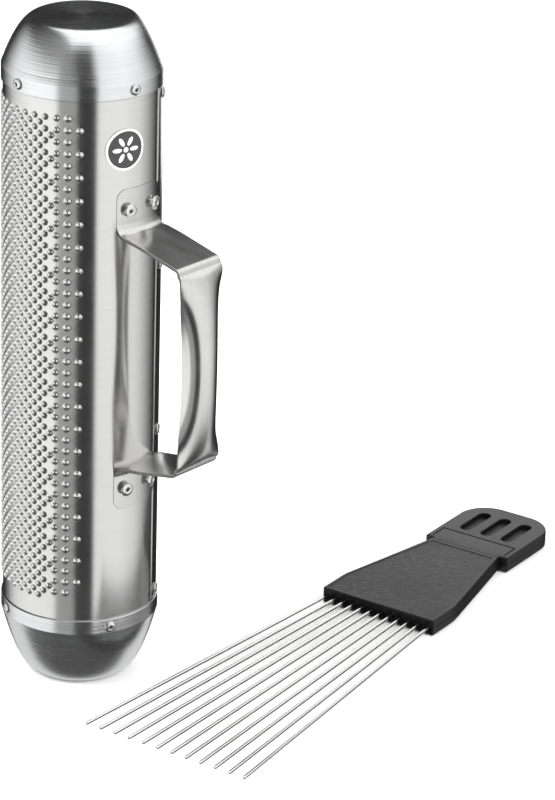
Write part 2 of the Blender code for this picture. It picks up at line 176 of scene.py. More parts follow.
# What the metal reflects, as (where, brightness) stops. Walls go by degrees round from the pattern's facing,
# the panel overhead by distance off over height, the ground by how far it lies towards the facing, and the
# shares of high walls and ground by degrees of elevation.
PATTERN_FACING = -46.0
PATTERN_STRENGTH = 1.25
LOW_WALLS = (
    (-180, 0.02), (-150, 0.02), (-136, 0.2), (-112, 0.7), (-80, 0.95), (-40, 0.95), (-34, 0.36), (-10, 0.33),
    (-6, 0.03), (17, 0.03), (22, 0.86), (60, 0.86), (88, 0.7), (106, 0.4), (120, 0.16), (130, 0.015),
    (180, 0.015),
)
HIGH_WALLS = (
    (-180, 0.02), (-150, 0.02), (-136, 0.03), (-112, 0.08), (-80, 0.16), (-40, 0.24), (-22, 0.18),
    (-10, 0.05), (12, 0.03), (24, 0.75), (60, 0.85), (100, 0.8), (142, 0.75), (158, 0.1), (180, 0.02),
)
PANEL_DEPTH = ((-0.97, 0), (-0.85, 1), (0.55, 1), (0.95, 0))
PANEL_WIDTH = ((-0.46, 0), (-0.3, 1), (0.45, 1), (0.65, 0.7), (1.4, 0.7), (1.8, 0))
GROUND = ((-1, 0.6), (-0.32, 0.58), (-0.08, 0.1), (0.1, 0.06), (0.5, 0.06), (1, 0.2))
HIGH_WALLS_SHARE = ((-90, 0), (11, 0), (32, 1), (90, 1))
GROUND_SHARE = ((-90, 1), (-35, 1), (-29, 0), (90, 0))

# The floor, and the black flag under the tines, whose corners are in mm in the scraper's frame
FLOOR_HALF_SIZE = 8
FLOOR_HEIGHT = -0.5 * MM
FLAG_HEIGHT = -0.3 * MM
FLAG_CORNERS = ((-66, -232), (70, -232), (52, -2), (-50, -2))


# --- meshes ---


def polar(radius, degrees, height):
    angle = math.radians(degrees)
    return (radius * math.cos(angle), radius * math.sin(angle), height)


def ramp(x):
    """0 below 0, 1 above 1, and a smooth S between."""
    x = min(max(x, 0), 1)
    return x * x * (3 - 2 * x)


def face_outwards(mesh):
    bm = bmesh.new()
    bm.from_mesh(mesh)
    bmesh.ops.recalc_face_normals(bm, faces=bm.faces[:])
    bm.to_mesh(mesh)
    bm.free()


def linked(name, data):
    obj = bpy.data.objects.new(name, data)
    bpy.context.scene.collection.objects.link(obj)
    return obj


def new_object(name, points, faces):
    mesh = bpy.data.meshes.new(name)
    mesh.from_pydata(points, [], faces)
    face_outwards(mesh)
    return linked(name, mesh)


def turned(name, profile, segments):
    """A (radius, height) profile turned about Z. It starts and ends on the axis, or closes on itself."""
    points, rings = [], []
    for radius, height in profile:
        if radius == 0:
            rings.append([len(points)] * segments)
            points.append((0, 0, height))
            continue
        rings.append(range(len(points), len(points) + segments))
        points += [polar(radius, 360 * i / segments, height) for i in range(segments)]
    if profile[0][0] > 0:
        rings.append(rings[0])
    faces = []
    for above, below in zip(rings, rings[1:]):
        for i in range(segments):
            j = (i + 1) % segments
            corners = [above[i], below[i], below[j], above[j]]
            faces.append(list(dict.fromkeys(corners)))
    return new_object(name, points, faces)


def lofted(name, sections):
    """Closed loops of points, each with as many points, joined into one solid with flat ends."""
    count = len(sections[0])
    points = [point for section in sections for point in section]
    faces = [list(range(count)), list(range(len(points) - count, len(points)))]
    for start in range(0, len(points) - count, count):
        for i in range(count):
            j = (i + 1) % count
            faces.append((start + i, start + j, start + count + j, start + count + i))
    return new_object(name, points, faces)


def cut(obj, *tools):
    for tool in tools:
        hole = obj.modifiers.new("cut", "BOOLEAN")
        hole.operation = "DIFFERENCE"
        hole.solver = "MANIFOLD"
        hole.object = tool


def settle(obj, sharp=35):
    """Applies the modifiers, turns every face outwards and shades the mesh smooth between sharp edges."""
    bpy.context.view_layer.update()
    graph = bpy.context.evaluated_depsgraph_get()
    mesh = bpy.data.meshes.new_from_object(
        obj.evaluated_get(graph), preserve_all_data_layers=True, depsgraph=graph
    )
    obj.modifiers.clear()
    obj.data = mesh
    face_outwards(mesh)
    mesh.shade_smooth()
    mesh.set_sharp_from_angle(angle=math.radians(sharp))


def weigh_normals(obj):
    """Lets the larger faces set the shading, so that flat areas stay flat up to a rounded edge."""
    normals = obj.modifiers.new("normals", "WEIGHTED_NORMAL")
    normals.keep_sharp = True
    normals.weight = 100


def dress(obj, body, slot, *materials):
    """Gives a finished piece its materials and its CAD body. The slot is not used."""
    obj.data.materials.clear()
    for material in materials:
        obj.data.materials.append(material)
    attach(obj, body)


# --- body ---


def has_bump(column, level):
    """Whether a bump stands at a lattice place. Levels are half pitches down from the field's top."""
    from_side = min(column, COLUMNS - 1 - column)
    if from_side < 0 or level < 0 or level > 2 * ROWS - 1 or from_side in (1, 3):
        return False
    if from_side == 0:
        return level % 4 == 2
    if from_side == 5:
        return level % 4 == 3
    return True


def add_tile(points, faces, corners, angle, height, bump):
    """One diamond of the sheet, flat or round a bump. Its four corners go anticlockwise from the right."""
    first = len(points)
    if not bump:
        points.append(polar(BODY_RADIUS, angle, height))
        for i in range(4):
            faces.append((corners[i], corners[(i + 1) % 4], first))
        return
    for share in BUMP_RINGS:
        lift = BUMP_HEIGHT * (1 - share**2) ** BUMP_SHOULDER
        for i in range(BUMP_SIDES):
            turn = 2 * math.pi * i / BUMP_SIDES
            around = math.degrees(BUMP_RADIUS * share * math.cos(turn) / BODY_RADIUS)
            rise = BUMP_RADIUS * share * math.sin(turn)
            points.append(polar(BODY_RADIUS + lift, angle + around, height + rise))
    points.append(polar(BODY_RADIUS + BUMP_HEIGHT, angle, height))
    quarter = BUMP_SIDES // 4
    for i in range(4):
        faces.append((corners[i], corners[(i + 1) % 4], first + i * quarter + quarter // 2))
        for j in range(quarter):
            at, after = first + i * quarter + j, first + (i * quarter + j + 1) % BUMP_SIDES
            faces.append((corners[(i + (j >= quarter // 2)) % 4], after, at))
    for ring in range(len(BUMP_RINGS)):
        start = first + ring * BUMP_SIDES
        for i in range(BUMP_SIDES):
            j = (i + 1) % BUMP_SIDES
            if ring < len(BUMP_RINGS) - 1:
                faces.append((start + i, start + j, start + BUMP_SIDES + j, start + BUMP_SIDES + i))
            else:
                faces.append((start + i, start + j, len(points) - 1))


def spread(first, last, steps):
    return [first + (last - first) * i / steps for i in range(1, steps + 1)]


def shell_radius(angle):
    return BODY_RADIUS - (SHEET + GAP) * ramp((angle - JOGGLE_FROM) / JOGGLE)


def bump_field(points, faces, angles, first, heights):
    """The lattice of diamonds between columns of border points. Returns each column's points, top first."""
    place = {}
    for c in range(-1, COLUMNS + 1):
        for j in range(-1, 2 * ROWS + 1):
            if (c + j) % 2 or c in (-1, COLUMNS) or j in (-1, 2 * ROWS):
                place[c, j] = len(points)
                points.append(polar(BODY_RADIUS, angles[first + c + 1], heights[j + 1]))
    for c in range(COLUMNS):
        for j in range(2 * ROWS):
            if (c + j) % 2 == 0:
                corners = (place[c + 1, j], place[c, j - 1], place[c - 1, j], place[c, j + 1])
                add_tile(points, faces, corners, angles[first + c + 1], heights[j + 1], has_bump(c, j))
    last = 2 * ROWS
    for c in range(-1, COLUMNS):
        odd, even = (c, c + 1) if c % 2 else (c + 1, c)
        faces.append((place[c, -1], place[c + 1, -1], place[odd, 0]))
        faces.append((place[c, last], place[c + 1, last], place[even, last - 1]))
    for j in range(last):
        odd = j if j % 2 else j + 1
        faces.append((place[-1, j], place[-1, j + 1], place[0, odd]))
        faces.append((place[COLUMNS, j], place[COLUMNS, j + 1], place[COLUMNS - 1, odd]))
    return place


def body_shell(drills):
    """The rolled sheet with its pressed bumps, as one closed wall whose tucked end lies inside the seam."""
    field_to = FIELD_FROM + (COLUMNS + 1) * COLUMN_PITCH
    angles = [SEAM_EDGE] + spread(SEAM_EDGE, FIELD_FROM, 12)
    first = len(angles) - 1
    angles += spread(FIELD_FROM, field_to, COLUMNS + 1)
    angles += spread(field_to, JOGGLE_FROM, 32) + spread(JOGGLE_FROM, JOGGLE_FROM + JOGGLE, 6)
    angles += spread(JOGGLE_FROM + JOGGLE, 360 + SEAM_EDGE + SEAM_OVERLAP, 8)
    heights = [FIELD_TOP + HALF_PITCH * (1 - j) for j in range(2 * ROWS + 2)]
    points, faces, columns = [], [], []
    place = bump_field(points, faces, angles, first, heights)
    for i, angle in enumerate(angles):
        c, radius = i - first - 1, shell_radius(angle)
        if 0 <= c < COLUMNS:
            column = [place[c, -1], place[c, 2 * ROWS]]
        elif c in (-1, COLUMNS):
            column = [place[c, j] for j in range(-1, 2 * ROWS + 1)]
        else:
            column = list(range(len(points), len(points) + len(heights)))
            points += [polar(radius, angle, height) for height in heights]
        columns.append([len(points)] + column + [len(points) + 1])
        points += [polar(radius, angle, SHELL_HIGH), polar(radius, angle, SHELL_LOW)]
    inside = len(points)
    for angle in angles:
        radius = shell_radius(angle) - SHEET
        points += [polar(radius, angle, SHELL_HIGH), polar(radius, angle, SHELL_LOW)]
    for i, (left, right) in enumerate(zip(columns, columns[1:])):
        if first <= i < first + COLUMNS + 1:
            faces.append((left[0], left[1], right[1], right[0]))
            faces.append((left[-2], left[-1], right[-1], right[-2]))
        else:
            faces += [(left[j], left[j + 1], right[j + 1], right[j]) for j in range(len(left) - 1)]
        back, next_back = inside + 2 * i, inside + 2 * i + 2
        faces.append((back, next_back, next_back + 1, back + 1))
        faces.append((left[0], right[0], next_back, back))
        faces.append((left[-1], right[-1], next_back + 1, back + 1))
    for i in (0, len(angles) - 1):
        faces.append(columns[i] + [inside + 2 * i + 1, inside + 2 * i])
    shell = new_object("guiro_shell", points, faces)
    cut(shell, drills)
    settle(shell)
    weigh_normals(shell)
    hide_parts("body_shell")
    dress(shell, "guiro", "shell_steel", shell_steel())


def turning_ridges(run):
    """How far the lathe's fine ridges stand proud, at a distance along the profile."""
    return sum(
        MM * 0.001 * size * math.sin(run / (pitch * MM) * 2 * math.pi + phase)
        for pitch, phase, size in RIDGES
    )


def shoulder(share):
    """A cap's radius and its share of the height above the lip, from 0 at the flat end to 1 at the lip."""
    run = 1 - share**CAP_SPREAD
    return CAP_FLAT_RADIUS + (CAP_RADIUS - CAP_FLAT_RADIUS) * (1 - run) ** CAP_FULLNESS, run


def cap_outer_profile(cap_height, lip_ridges):
    """From the middle of the flat end, over the shoulder, past the groove and down the lip."""
    smooth = [(CAP_FLAT_RADIUS * i / 90, cap_height) for i in range(90)]
    steps = 190
    for i in range(steps + 1):
        radius, run = shoulder(i / steps)
        height = CAP_LIP + (cap_height - CAP_LIP) * run
        groove = math.exp(-(((height - GROOVE_HEIGHT) / GROOVE_WIDTH) ** 2))
        smooth.append((radius - GROOVE_DEPTH * groove, height))
    lip_end, steps = 0.4 * MM, 72
    smooth += [(CAP_RADIUS, CAP_LIP - (CAP_LIP - lip_end) * i / steps) for i in range(1, steps + 1)]
    marked, run = [smooth[0]], 0
    for before, here, after in zip(smooth, smooth[1:], smooth[2:]):
        run += math.dist(before, here)
        across, down = after[0] - before[0], after[1] - before[1]
        length = math.hypot(across, down)
        proud = turning_ridges(run)
        if here[1] < CAP_LIP:
            proud += lip_ridges * math.sin(2 * math.pi * here[1] / LIP_RIDGE_PITCH)
        marked.append((here[0] - proud * down / length, here[1] + proud * across / length))
    return marked + [smooth[-1]]


def end_cap(name, node, rim, cap_height, lip_ridges, upside_down, drills):
    """A spun cap: marked by its turning outside, plain inside, with a rolled edge."""
    outer = cap_outer_profile(cap_height, lip_ridges)
    edge_radius = CAP_SHEET / 2
    edge = [
        (CAP_RADIUS - edge_radius * (1 - math.cos(turn)), edge_radius * (1 - math.sin(turn)))
        for turn in [math.pi * i / 8 for i in range(1, 9)]
    ]
    inner = [(CAP_RADIUS - CAP_SHEET, CAP_LIP)]
    for i in range(14, -1, -1):
        radius, run = shoulder(i / 14)
        inner.append((radius - CAP_SHEET, CAP_LIP - CAP_SHEET * run + (cap_height - CAP_LIP) * run))
    cap = turned(name, outer + edge + inner + [(0, cap_height - CAP_SHEET)], CAP_SEGMENTS)
    turn = Matrix.Rotation(math.pi if upside_down else 0, 4, "X")
    cap.data.transform(Matrix.Translation((0, 0, rim)) @ turn)
    cut(cap, drills)
    settle(cap)
    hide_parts(node)
    dress(cap, "guiro", "cap_aluminium", turned_aluminium())


# --- handle ---


def rounded_corner(before, corner, after, radius, steps):
    """Points and headings along the arc that rounds a corner of a path in the (out, up) plane."""
    heading_in = math.atan2(corner[1] - before[1], corner[0] - before[0])
    heading_out = math.atan2(after[1] - corner[1], after[0] - corner[0])
    turn = heading_out - heading_in
    side = math.copysign(1, turn)
    trim = radius * math.tan(abs(turn) / 2)
    start = (corner[0] - trim * math.cos(heading_in), corner[1] - trim * math.sin(heading_in))
    centre = (
        start[0] - side * radius * math.sin(heading_in),
        start[1] + side * radius * math.cos(heading_in),
    )
    headings = [heading_in + turn * i / steps for i in range(steps + 1)]
    return [
        (centre[0] + side * radius * math.sin(h), centre[1] - side * radius * math.cos(h), h)
        for h in headings
    ]


def strap_rows():
    """Rows (out, up, heading, half width, curvature, bulge) from the upper foot's end to the middle."""
    inner = BODY_RADIUS + GAP
    down = -math.pi / 2
    foot_end, foot_bend = (inner, FOOT_END), (inner, FOOT_BEND)
    corner, middle = (BODY_RADIUS + GRIP_STANDOFF, GRIP_CORNER), (BODY_RADIUS + GRIP_STANDOFF, 0)
    rows = []
    for i in range(11):
        turn = math.pi / 2 * i / 10
        half_width = STRAP_HALF_WIDTH - FOOT_CORNER * (1 - math.sin(turn))
        rows.append((inner, FOOT_END - FOOT_CORNER * (1 - math.cos(turn)), down, half_width, 1 / inner, 0))
    foot_arc = rounded_corner(foot_end, foot_bend, corner, FOOT_BEND_RADIUS, BEND_STEPS)
    for up in spread(FOOT_END - FOOT_CORNER, foot_arc[0][1], 8)[:-1]:
        rows.append((inner, up, down, STRAP_HALF_WIDTH, 1 / inner, 0))
    for i, (out, up, heading) in enumerate(foot_arc):
        rows.append((out, up, heading, STRAP_HALF_WIDTH, ramp(1 - 0.75 * i / BEND_STEPS) / inner, 0))
    grip_arc = rounded_corner(foot_bend, corner, middle, GRIP_BEND_RADIUS, BEND_STEPS)
    for share in spread(0, 1, 14)[:-1]:
        out = foot_arc[-1][0] + (grip_arc[0][0] - foot_arc[-1][0]) * share
        up = foot_arc[-1][1] + (grip_arc[0][1] - foot_arc[-1][1]) * share
        rest = ramp(0.25) * ramp(1 - 3 * share)
        rows.append((out, up, grip_arc[0][2], STRAP_HALF_WIDTH, rest / inner, 0))
    rows += [(out, up, heading, STRAP_HALF_WIDTH, 0, 0) for out, up, heading in grip_arc]
    for up in spread(grip_arc[-1][1], 0, 46):
        inside = max(0, 1 - (up / GRIP_FLAT) ** 2)
        curl = inside**GRIP_CURL
        half_width = STRAP_HALF_WIDTH + (GRIP_HALF_WIDTH - STRAP_HALF_WIDTH) * curl
        bulge = inside**GRIP_ONSET * GRIP_BULGE
        rows.append((corner[0], up, down, half_width, curl / GRIP_TUBE_RADIUS, bulge))
    return rows


def strap_point(row, share, side):
    """A point of the body-side face. Share runs from -1 to 1 across the strap."""
    out, up, heading, half_width, curvature, bulge = row
    across = half_width * share
    rise = bulge
    if curvature > 1e-6:
        rise -= (1 - math.cos(curvature * across)) / curvature
        across = math.sin(curvature * across) / curvature
    out -= rise * math.sin(heading)
    up += rise * math.cos(heading)
    return (out, across, HANDLE_MIDDLE + side * up)


def handle_strap(drills):
    """The bent strap. Its cut edges have their own material, painted dark as shade, and its UVs are metres
    along and across it.
    """
    upper = [(row, 1) for row in strap_rows()]
    lower = [(row, -1) for row in reversed(strap_rows()[:-1])]
    rows, stride = upper + lower, STRAP_COLUMNS + 1
    shares = [2 * i / STRAP_COLUMNS - 1 for i in range(stride)]
    points = [strap_point(row, share, side) for row, side in rows for share in shares]
    faces = []
    for start in range(0, len(points) - stride, stride):
        for i in range(start, start + STRAP_COLUMNS):
            faces.append((i, i + stride, i + stride + 1, i + 1))
    strap = new_object("grip_strap", points, faces)
    for _ in range(2):
        strap.data.materials.append(None)
    along, run = {}, 0
    for index, (row, side) in enumerate(rows):
        here = Vector(strap_point(row, 0, side))
        run += (here - before).length if index else 0
        before = here
        for i, share in enumerate(shares):
            along[index * stride + i] = (run, row[3] * share)
    layer = strap.data.uv_layers.new(name="strap_run")
    for loop in strap.data.loops:
        layer.data[loop.index].uv = along[loop.vertex_index]
    wall = strap.modifiers.new("wall", "SOLIDIFY")
    wall.thickness, wall.offset, wall.use_even_offset = STRAP_THICKNESS, 1, True
    wall.material_offset_rim = 1
    edge = strap.modifiers.new("edge", "BEVEL")
    edge.width, edge.segments, edge.angle_limit = STRAP_EDGE, 3, math.radians(50)
    cut(strap, drills)
    settle(strap)
    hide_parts("handle_strap")
    sheared = [face.material_index for face in strap.data.polygons]
    # The cut edges take the material with painted shade.
    dress(strap, "guiro", "handle_steel", handle_steel(), sheared_edge_painted_shade())
    strap.data.polygons.foreach_set("material_index", sheared)


# --- badge ---


def lay_on_body(obj, angle, height):
    """Bends a flat piece, drawn as (around, up, out), onto the body."""
    radius = BODY_RADIUS + GAP
    for vertex in obj.data.vertices:
        around, up, out = vertex.co
        vertex.co = polar(radius + out, angle + math.degrees(around / radius), height + up)


def flat_rings(first, last, height, steps):
    return [(first + (last - first) * i / steps, height) for i in range(steps + 1)]


def badge():
    """A dark enamel disc in a light rim, with a plain rosette on it."""
    inner = BADGE_RADIUS - BADGE_RIM
    face = [(0, 0.9 * MM)] + flat_rings(1 * MM, inner, 0.9 * MM, 12)
    disc = turned("badge_disc", face + flat_rings(inner, 1 * MM, 0, 12) + [(0, 0)], 64)
    rim_profile = [(inner + 0.02 * MM, 0), (inner + 0.02 * MM, 0.92 * MM)]
    for i in range(1, 12):
        turn = math.pi * i / 12
        middle = inner + BADGE_RIM / 2
        rim_profile.append((middle - BADGE_RIM / 2 * math.cos(turn), (0.92 + 0.16 * math.sin(turn)) * MM))
    rim = turned("badge_rim", rim_profile + [(BADGE_RADIUS, 0.85 * MM), (BADGE_RADIUS, 0)], 96)
    pieces = [(disc, badge_enamel()), (rim, badge_light("badge_rim_light"))]
    light = badge_light("badge_motif_light")
    for petal in range(PETALS):
        turn = math.radians(360 / PETALS * petal)
        sections = []
        for shrink, out in ((1, 0.8), (1, 0.93), (0.93, 0.98), (0.8, 1.0)):
            loop = []
            for i in range(28):
                at = 2 * math.pi * i / 28
                x = PETAL_FROM_MIDDLE + PETAL_LENGTH * shrink * math.cos(at)
                y = PETAL_WIDTH * shrink * math.sin(at)
                around, up = x * math.cos(turn) - y * math.sin(turn), x * math.sin(turn) + y * math.cos(turn)
                loop.append((around * MM, up * MM, out * MM))
            sections.append(loop)
        pieces.append((lofted(f"badge_petal_{petal + 1}", sections), light))
    dot_profile = ((0, 1), (1, 1), (1.35, 0.98), (1.5, 0.92), (1.5, 0.8), (0, 0.8))
    pieces.append((turned("badge_dot", [(radius * MM, out * MM) for radius, out in dot_profile], 40), light))
    for piece, material in pieces:
        lay_on_body(piece, BADGE_ANGLE, BADGE_HEIGHT)
        settle(piece)
        dress(piece, "guiro", "badge_face", material)
    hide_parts("badge")


# --- rivets ---


def rivet_list():
    """(node, kind, seat radius, grip, angle, height) of every rivet."""
    wall = CAP_SHEET + SHEET + 2 * GAP
    lip = BODY_RADIUS + GAP + CAP_SHEET
    foot = BODY_RADIUS + GAP + STRAP_THICKNESS
    listed = []
    for i in range(4):
        for end, angle, height in CAP_RIVETS:
            listed.append((f"{end}_cap_rivet_{i + 1}", SMALL_RIVET, lip, wall, angle + 90 * i, height))
    seam, grip = SEAM_EDGE + SEAM_OVERLAP / 2, 2 * SHEET + 2 * GAP
    for i, rise in enumerate(SEAM_RIVET_HEIGHTS):
        listed.append((f"seam_rivet_{i + 1}", SMALL_RIVET, BODY_RADIUS, grip, seam, MIDDLE + rise * MM))
    grip = STRAP_THICKNESS + SHEET + 2 * GAP
    for end, side in (("lower", -1), ("upper", 1)):
        for hand, angle in (("left", -HANDLE_RIVET_ANGLE), ("right", HANDLE_RIVET_ANGLE)):
            height = HANDLE_MIDDLE + side * HANDLE_RIVET_RISE
            listed.append((f"handle_rivet_{end}_{hand}", LARGE_RIVET, foot, grip, angle, height))
    return listed


def outwards(radius, degrees, height):
    """The place on the body whose own +Z points straight out."""
    turn = Matrix.Rotation(math.radians(degrees), 4, "Z") @ Matrix.Rotation(math.pi / 2, 4, "Y")
    return Matrix.Translation(polar(radius, degrees, height)) @ turn


def rods(name, listed, segments):
    """One cutter of several rods. Each is (radius, length, the place of its middle)."""
    bm = bmesh.new()
    for radius, length, place in listed:
        bmesh.ops.create_cone(
            bm, cap_ends=True, segments=segments, radius1=radius, radius2=radius, depth=length, matrix=place
        )
    mesh = bpy.data.meshes.new(name)
    bm.to_mesh(mesh)
    bm.free()
    return linked(name, mesh)


def rivet_drills(listed):
    """A drill through every layer at each rivet."""
    drills = [
        (shank + PLAY, DRILL_DEPTH, outwards(BODY_RADIUS, angle, height))
        for _, (shank, _, _), _, _, angle, height in listed
    ]
    return rods("drills", drills, 32)


def rivet_profile(kind, grip):
    """From the bore's top, over the domed head, down the shank, round the set tail and up the bore."""
    shank, head, height = kind
    bore = MANDREL_RADIUS + GAP
    tail_top = -grip - GAP
    profile = [(bore, 0.72 * height), (bore + 0.12 * MM, 0.82 * height), (0.42 * head, 0.93 * height)]
    dome = 62  # degrees of arc, from the head's edge up to its bore
    for i in range(9):
        turn = math.radians(dome - dome * i / 8)
        rise = 0.22 + 0.78 * math.sin(turn) / math.sin(math.radians(dome))
        profile.append((head * math.cos(turn), height * rise))
    profile += [
        (head, 0.08 * height), (0.97 * head, 0), (shank, 0), (shank, tail_top),
        (1.25 * shank, tail_top - 0.15 * RIVET_TAIL), (1.35 * shank, tail_top - 0.35 * RIVET_TAIL),
        (1.2 * shank, tail_top - RIVET_TAIL), (bore, tail_top - RIVET_TAIL),
    ]
    return profile


def mandrel_profile(kind, grip):
    shank, _, height = kind
    tail = -grip - 2 * GAP - RIVET_TAIL
    return [
        (0, 0.44 * height), (0.22 * MM, 0.40 * height), (0.45 * MM, 0.42 * height),
        (MANDREL_RADIUS * 0.9, 0.30 * height), (MANDREL_RADIUS, 0.2 * height), (MANDREL_RADIUS, tail),
        (0.95 * shank, tail), (0.9 * shank, tail - 0.6 * MM), (0.6 * shank, tail - 1.2 * MM),
        (0, tail - 1.2 * MM),
    ]


def rivets(listed):
    aluminium, dark = rivet_aluminium(), mandrel_steel()
    for node, kind, seat, grip, angle, height in listed:
        place = outwards(seat + GAP, angle, height)
        for name, profile, slot, material in (
            (node, rivet_profile(kind, grip), "rivet_aluminium", aluminium),
            (node + "_mandrel", mandrel_profile(kind, grip), "mandrel_steel", dark),
        ):
            piece = turned(name + "_fine", profile, 40)
            settle(piece, 50)
            piece.matrix_world = place
            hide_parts(name)
            dress(piece, "guiro", slot, material)


# --- scraper ---


def arc(centre, radius, first, last, steps):
    angles = [math.radians(first + (last - first) * i / steps) for i in range(steps + 1)]
    return [(centre[0] + radius * math.cos(a), centre[1] + radius * math.sin(a)) for a in angles]


def scraper_outline():
    """The plan of the scraper's handle, anticlockwise from the front right corner."""
    right = arc((FRONT_HALF_WIDTH - 1.5 * MM, 1.5 * MM), 1.5 * MM, -90, 0, 5)
    for into, along in ((0, -6), (0.12, -2), (0.45, 1), (1.05, 4)):
        right.append((FRONT_HALF_WIDTH - into * MM, FRONT_LENGTH + along * MM))
    right += [(NECK_HALF_WIDTH, NECK_AT), (NECK_HALF_WIDTH, END_FROM)]
    right += arc((END_HALF_WIDTH - 0.6 * MM, END_FROM + 1.1 * MM), 0.6 * MM, -90, 0, 4)
    right += arc((END_HALF_WIDTH - END_CORNER, SCRAPER_LENGTH - END_CORNER), END_CORNER, 0, 90, 28)
    return right + [(-across, along) for across, along in reversed(right)]


def inset(outline, distance):
    """The outline moved inwards by a distance, for an outline listed anticlockwise."""
    moved = []
    for i, (x, y) in enumerate(outline):
        before, after = Vector(outline[i - 1]), Vector(outline[(i + 1) % len(outline)])
        into, away = (Vector((x, y)) - before).normalized(), (after - Vector((x, y))).normalized()
        normal = Vector((-(into + away).y, (into + away).x)).normalized()
        stretch = 1 / max(normal.dot(Vector((-into.y, into.x))), 0.5)
        moved.append((x + normal.x * distance * stretch, y + normal.y * distance * stretch))
    return moved


def at_height(outline, height):
    return [(x, y, height) for x, y in outline]


def quarter_turn(radius):
    """(How far in, how far along) at each step round a quarter circle. It ends on the outline itself."""
    turns = [math.pi / 2 * i / 5 for i in range(6)]
    return [(radius * (1 - math.sin(turn)), radius * (1 - math.cos(turn))) for turn in turns]


def rounded_plate(name, outline, low, high, low_round, high_round):
    """A plate whose two edges are rounded, each with a narrow flat ring inside that keeps its face flat."""
    sections = [at_height(inset(outline, low_round * 1.08), low)]
    for into, rise in quarter_turn(low_round):
        sections.append(at_height(inset(outline, into), low + rise))
    for into, drop in reversed(quarter_turn(high_round)):
        sections.append(at_height(inset(outline, into), high - drop))
    sections.append(at_height(inset(outline, high_round * 1.08), high))
    return lofted(name, sections)


def recess(name, outline, depth, edge):
    """A cutter for a recess in the top face, flared so that its upper edge comes out rounded."""
    top = SCRAPER_THICKNESS
    sections = [at_height(outline, top - depth)]
    for drop, out in quarter_turn(edge):
        sections.append(at_height(inset(outline, -out), top - drop))
    sections.append(at_height(inset(outline, -edge), top + 1 * MM))
    return lofted(name, sections)


def scraper_cutters():
    """Everything that is sunk into the scraper's top face."""
    cutters = []
    for i in (-1, 0, 1):
        across = i * SLOT_PITCH
        ends = arc((across, SLOT_MIDDLE + SLOT_HALF_LENGTH), SLOT_HALF_WIDTH, 0, 180, 14)
        ends += arc((across, SLOT_MIDDLE - SLOT_HALF_LENGTH), SLOT_HALF_WIDTH, 180, 360, 14)
        cutters.append(recess(f"slot_{i}", ends, SLOT_DEPTH, 0.6 * MM))
    panel = [
        (FRONT_HALF_WIDTH - PANEL_BORDER, PANEL_BORDER),
        (FRONT_HALF_WIDTH - PANEL_BORDER, FRONT_LENGTH + 0.5 * MM),
        (NECK_HALF_WIDTH - PANEL_BORDER, NECK_AT - PANEL_BORDER),
    ]
    panel += [(-x, y) for x, y in reversed(panel)]
    cutters.append(recess("panel", panel, 0.3 * MM, 0.2 * MM))
    near, far = NECK_AT + 0.6 * MM, NECK_AT + 1.1 * MM
    line = [(26 * MM, near), (26 * MM, far), (-26 * MM, far), (-26 * MM, near)]
    cutters.append(recess("line", line, 0.45 * MM, 0.1 * MM))
    wide, narrow = 26.6 * MM, 25.7 * MM
    start, inner = END_FROM + 3 * MM, END_FROM + BAR_LENGTH
    outer = END_FROM + BAR_LENGTH + 1.1 * MM
    groove = [
        (wide, start), (wide, outer), (-wide, outer), (-wide, start),
        (-narrow, start), (-narrow, inner), (narrow, inner), (narrow, start),
    ]
    cutters.append(recess("groove", groove, 1.1 * MM, 0.12 * MM))
    return cutters


def tine_place(index, start):
    """Lays +Z along a tine towards its tip, from a distance in front of the front edge. The second value is
    how much longer the lean makes the tine."""
    share = 2 * index / (TINE_COUNT - 1) - 1
    lean = share * (TIP_HALF_SPREAD - ROOT_HALF_SPREAD) / TINE_REACH
    spot = (share * ROOT_HALF_SPREAD + lean * start, -start, SCRAPER_THICKNESS / 2)
    turn = Matrix.Rotation(math.atan(lean), 4, "Z") @ Matrix.Rotation(math.pi / 2, 4, "X")
    return Matrix.Translation(spot) @ turn, math.hypot(1, lean)


def tine_channels():
    """A channel for every tine, half in each part of the handle."""
    half_length = TINE_BURIED + 2 * MM
    channels = []
    for index in range(TINE_COUNT):
        place, _ = tine_place(index, -TINE_BURIED - GAP)
        middle = place @ Matrix.Translation((0, 0, half_length))
        channels.append((TINE_RADIUS + PLAY, 2 * half_length, middle))
    return rods("channels", channels, 28)


def scraper(place):
    """The handle's two halves. The panel and the other sunk faces of the top have the textured plastic."""
    smooth, textured = black_plastic("plastic_smooth", False), black_plastic("plastic_textured", True)
    middle = SCRAPER_THICKNESS / 2
    channels, sunk = tine_channels(), scraper_cutters()
    halves = (
        ("upper", middle + GAP / 2, SCRAPER_THICKNESS, JOINT_ROUNDING, OUTER_ROUNDING, sunk),
        ("lower", 0, middle - GAP / 2, OUTER_ROUNDING, JOINT_ROUNDING, []),
    )
    for side, low, high, low_round, high_round, cutters in halves:
        node = "scraper_handle_" + side
        half = rounded_plate("grip_" + side, scraper_outline(), low, high, low_round, high_round)
        cut(half, channels, *cutters)
        settle(half)
        half.matrix_world = place
        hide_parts(node)
        dress(half, "scraper", "scraper_plastic", smooth, textured)
        for face in half.data.polygons:
            if face.normal.z > 0.9 and middle + 1 * MM < face.center.z < SCRAPER_THICKNESS - 0.06 * MM:
                face.material_index = 1
        weigh_normals(half)
    for tool in [channels] + sunk:
        bpy.data.objects.remove(tool)


